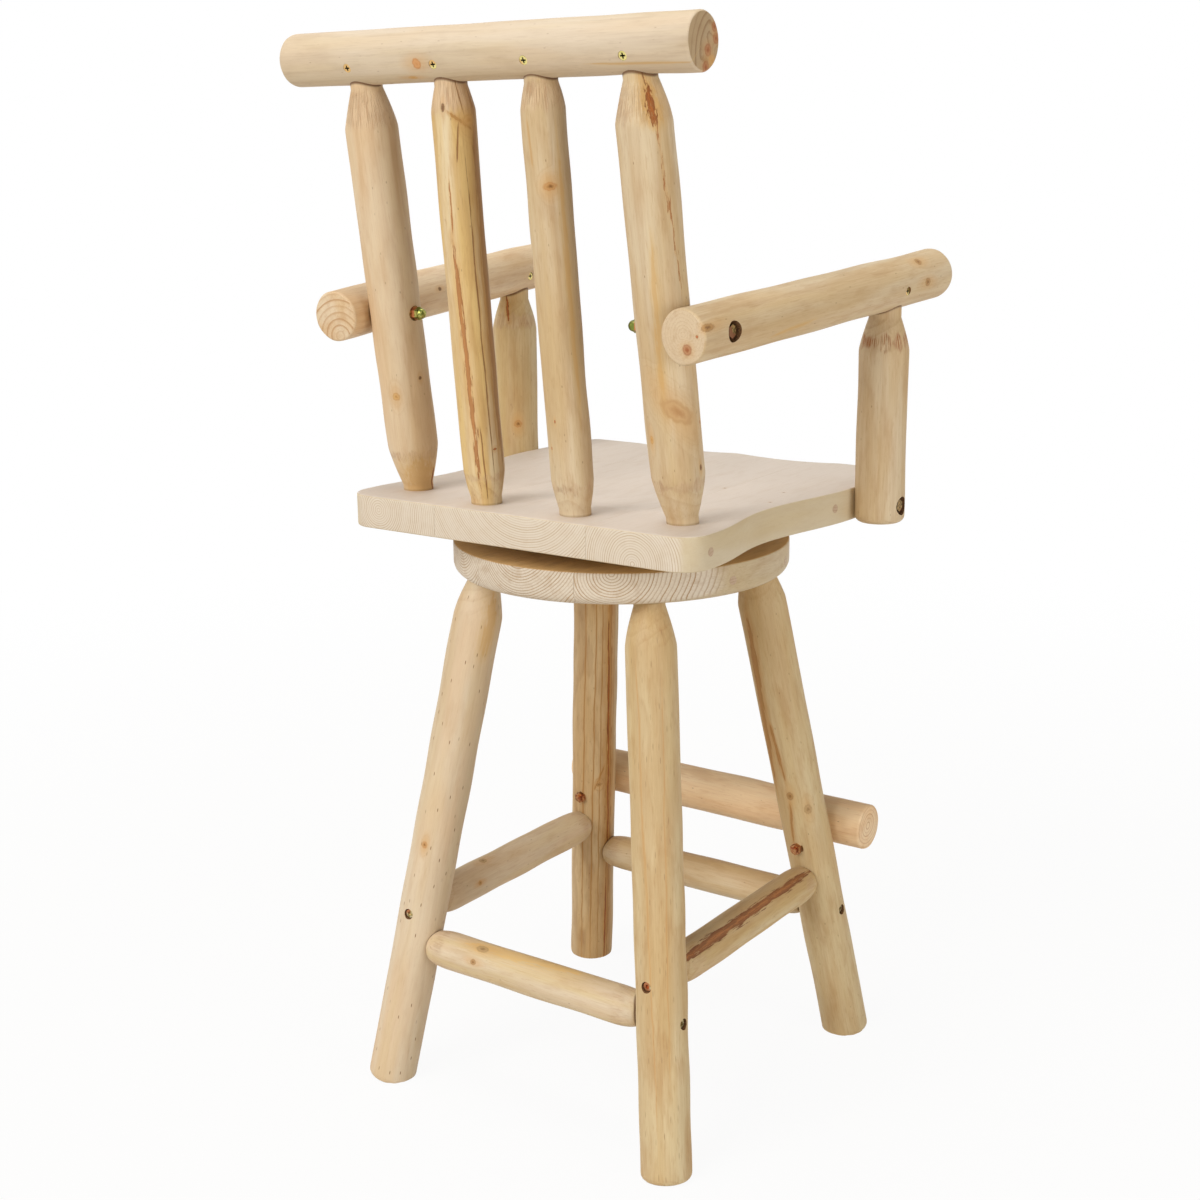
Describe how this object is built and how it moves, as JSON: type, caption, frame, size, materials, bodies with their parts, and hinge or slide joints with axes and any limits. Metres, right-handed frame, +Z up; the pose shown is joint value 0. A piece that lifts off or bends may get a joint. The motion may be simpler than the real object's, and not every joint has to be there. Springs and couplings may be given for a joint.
{
  "type": "swivel bar stool",
  "caption": "Rustic log bar stool: a dished plank seat with spindle back and log arms turns on a ball-bearing swivel over a splayed log base with a foot bar.",
  "frame": {"origin": "on the floor, under the swivel axis, midway between the four feet", "axes": "+Z up along the swivel axis; -Y to the front, where the foot bar is; +X to the sitter's left"},
  "size_m": [0.6114, 0.523, 1.254],
  "materials": {
    "leg_log": "raw peeled softwood, satin",
    "stretcher_log": "raw peeled softwood, satin",
    "back_log": "raw peeled softwood, satin",
    "arm_log": "raw peeled softwood, satin",
    "board_wood": "sanded softwood boards, matt",
    "dowel_wood": "sanded hardwood dowel",
    "zinc_steel": "bright zinc plating",
    "yellow_zinc": "yellow zinc plating",
    "black_steel": "dark oiled steel",
    "swivel_steel": "dull zinc plated pressed steel",
    "ball_steel": "polished",
    "cage_plastic": "moulded nylon"
  },
  "bodies": {
    "base": {"leg_back_left": "leg_log", "leg_back_right": "leg_log", "leg_front_left": "leg_log", "leg_front_right": "leg_log", "stretcher_left": "stretcher_log", "stretcher_right": "stretcher_log", "stretcher_front": "stretcher_log", "stretcher_back": "stretcher_log", "foot_bar": "stretcher_log", "disc_board_left": "board_wood", "disc_board_middle": "board_wood", "disc_board_right": "board_wood", "disc_dowels": "dowel_wood", "leg_screws": "yellow_zinc", "stretcher_bolts": "black_steel", "foot_bar_bolts": "zinc_steel", "foot_bar_washers": "zinc_steel", "foot_bar_nuts": "zinc_steel", "swivel_lower_plate": "swivel_steel", "lower_plate_screws": "zinc_steel"},
    "ball_ring": {"bearing_balls": "ball_steel", "ball_cage": "cage_plastic"},
    "seat": {"swivel_upper_plate": "swivel_steel", "swivel_retaining_ring": "swivel_steel", "swivel_rivets": "zinc_steel", "upper_plate_screws": "zinc_steel", "seat_board_left": "board_wood", "seat_board_middle": "board_wood", "seat_board_right": "board_wood", "seat_dowels": "dowel_wood", "back_post_left": "back_log", "back_post_right": "back_log", "spindle_left": "back_log", "spindle_right": "back_log", "spindle_screws": "yellow_zinc", "top_rail": "back_log", "rail_screws": "yellow_zinc", "armrest_left": "arm_log", "armrest_right": "arm_log", "arm_post_left": "arm_log", "arm_post_right": "arm_log", "arm_bolts": "zinc_steel", "arm_bolt_washers": "zinc_steel", "acorn_nuts": "zinc_steel", "arm_screws": "yellow_zinc", "arm_post_bolts": "zinc_steel", "arm_post_washers": "zinc_steel"}
  },
  "joints": [
    {"name": "seat_swivel", "type": "hinge", "parent": "base", "child": "seat", "pos_m": [0, 0, 0.69], "axis": [0, 0, 1], "continuous": true},
    {"name": "ball_ring_turn", "type": "hinge", "parent": "base", "child": "ball_ring", "pos_m": [0, 0, 0.69], "axis": [0, 0, 1], "continuous": true}
  ],
  "couplings": [
    {"joint": "ball_ring_turn", "follows": "seat_swivel", "ratio": 0.5}
  ]
}
